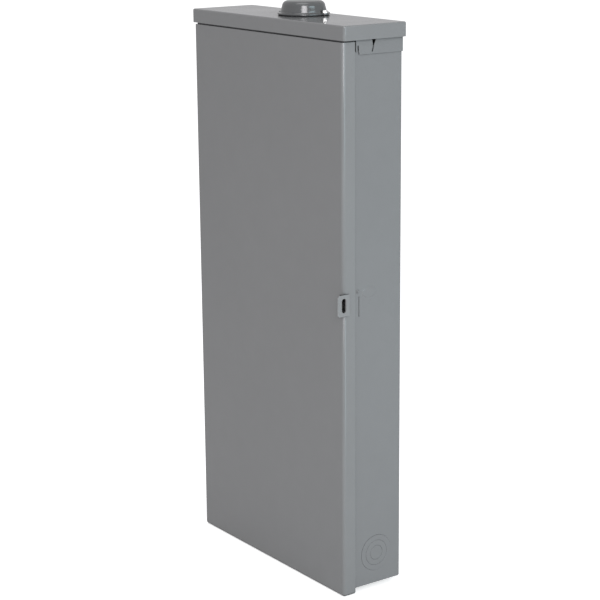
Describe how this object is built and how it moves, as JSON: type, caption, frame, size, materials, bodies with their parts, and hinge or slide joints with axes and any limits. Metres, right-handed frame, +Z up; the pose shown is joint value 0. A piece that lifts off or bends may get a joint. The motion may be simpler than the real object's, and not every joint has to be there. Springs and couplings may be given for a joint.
{
  "type": "subpanel enclosure",
  "caption": "Wall-hung outdoor subpanel: grey steel box, rain cap with domed hub plate, full-height hinged door with padlock hasp, breakers behind a dead front.",
  "frame": {"origin": "centre of the four wall holes, on the plane where the feet of the box meet the wall", "axes": "+Z up, +X to the right seen from the front, +Y into the wall; the door faces -Y"},
  "size_m": [0.3873, 0.1225, 0.8554],
  "materials": {
    "enclosure_paint": "semi-gloss light grey powder coat on sheet steel",
    "hub_paint": "semi-gloss grey coat on die-cast metal",
    "trim_paint": "semi-gloss light grey powder coat on sheet steel",
    "zinc_steel": "bright zinc plate",
    "galvanised_steel": "galvanised sheet",
    "tinned_bus": "tin-plated bus bar",
    "aluminium": "extruded, as cut",
    "green_screw": "green dyed zinc plate",
    "breaker_case": "moulded thermoset, fine texture",
    "breaker_handle": "moulded, smooth",
    "filler_plastic": "moulded, fine texture",
    "insulator": "moulded insulator",
    "gasket_rubber": "closed-cell gasket",
    "card": "paper card"
  },
  "bodies": {
    "enclosure": {"bonding_screw": "green_screw", "bonding_strap": "aluminium", "bottom_end_wall": "enclosure_paint", "bottom_knockouts": "enclosure_paint", "box_body": "enclosure_paint", "box_staple": "enclosure_paint", "branch_breaker_a_case": "breaker_case", "branch_breaker_b_case": "breaker_case", "branch_breaker_c_case": "breaker_case", "branch_breaker_d_case": "breaker_case", "breaker_terminal_screws": "zinc_steel", "bus_bar_left": "tinned_bus", "bus_bar_right": "tinned_bus", "bus_base": "insulator", "bus_screws": "zinc_steel", "bus_stabs": "tinned_bus", "catch_rivet": "enclosure_paint", "catch_spring": "zinc_steel", "dead_front": "trim_paint", "dead_front_screws": "zinc_steel", "filler_plates": "filler_plastic", "ground_bar": "aluminium", "ground_bar_screws": "zinc_steel", "heater_breaker_case": "breaker_case", "hinge_box_leaves": "enclosure_paint", "hinge_pins": "zinc_steel", "hub_closing_plate": "hub_paint", "hub_gasket": "gasket_rubber", "hub_screws": "zinc_steel", "interior_pan": "galvanised_steel", "lug_set_screws": "aluminium", "main_breaker_case": "breaker_case", "main_lugs": "aluminium", "main_straps": "tinned_bus", "neutral_bar_left": "aluminium", "neutral_bar_right": "aluminium", "neutral_cross_strap": "aluminium", "neutral_lug": "aluminium", "neutral_screws": "zinc_steel", "neutral_standoffs": "insulator", "pan_screws": "zinc_steel", "pump_breaker_case": "breaker_case", "rain_cap": "enclosure_paint", "range_breaker_case": "breaker_case", "side_knockouts": "enclosure_paint", "top_end_wall": "enclosure_paint"},
    "door": {"door": "enclosure_paint", "door_hasp": "enclosure_paint", "hinge_door_leaves": "enclosure_paint", "directory_card": "card"},
    "branch_breaker_a_handle": {"branch_breaker_a_handle": "breaker_handle"},
    "branch_breaker_b_handle": {"branch_breaker_b_handle": "breaker_handle"},
    "branch_breaker_c_handle": {"branch_breaker_c_handle": "breaker_handle"},
    "branch_breaker_d_handle": {"branch_breaker_d_handle": "breaker_handle"},
    "heater_breaker_handle": {"heater_breaker_handle": "breaker_handle"},
    "main_breaker_handle": {"main_breaker_handle": "breaker_handle"},
    "pump_breaker_handle": {"pump_breaker_handle": "breaker_handle"},
    "range_breaker_handle": {"range_breaker_handle": "breaker_handle"}
  },
  "joints": [
    {"name": "door_swing", "type": "hinge", "parent": "enclosure", "child": "door", "pos_m": [-0.1916, -0.0896, 0], "axis": [0, 0, -1], "range_deg": [0, 165]},
    {"name": "branch_breaker_a_toggle", "type": "hinge", "parent": "enclosure", "child": "branch_breaker_a_handle", "pos_m": [0.066, -0.0805, 0.0795], "axis": [0, 0, 1], "range_deg": [0, 50]},
    {"name": "branch_breaker_b_toggle", "type": "hinge", "parent": "enclosure", "child": "branch_breaker_b_handle", "pos_m": [0.066, -0.0805, 0.0541], "axis": [0, 0, 1], "range_deg": [0, 50]},
    {"name": "branch_breaker_c_toggle", "type": "hinge", "parent": "enclosure", "child": "branch_breaker_c_handle", "pos_m": [-0.066, -0.0805, 0.0287], "axis": [0, 0, -1], "range_deg": [0, 50]},
    {"name": "branch_breaker_d_toggle", "type": "hinge", "parent": "enclosure", "child": "branch_breaker_d_handle", "pos_m": [0.066, -0.0805, 0.0287], "axis": [0, 0, 1], "range_deg": [0, 50]},
    {"name": "heater_breaker_toggle", "type": "hinge", "parent": "enclosure", "child": "heater_breaker_handle", "pos_m": [0.066, -0.0805, 0.1176], "axis": [0, 0, 1], "range_deg": [0, 50]},
    {"name": "main_breaker_toggle", "type": "hinge", "parent": "enclosure", "child": "main_breaker_handle", "pos_m": [0, -0.0805, 0.241], "axis": [1, 0, 0], "range_deg": [0, 52]},
    {"name": "pump_breaker_toggle", "type": "hinge", "parent": "enclosure", "child": "pump_breaker_handle", "pos_m": [-0.066, -0.0805, 0.0668], "axis": [0, 0, -1], "range_deg": [0, 50]},
    {"name": "range_breaker_toggle", "type": "hinge", "parent": "enclosure", "child": "range_breaker_handle", "pos_m": [-0.066, -0.0805, 0.1176], "axis": [0, 0, -1], "range_deg": [0, 50]}
  ]
}
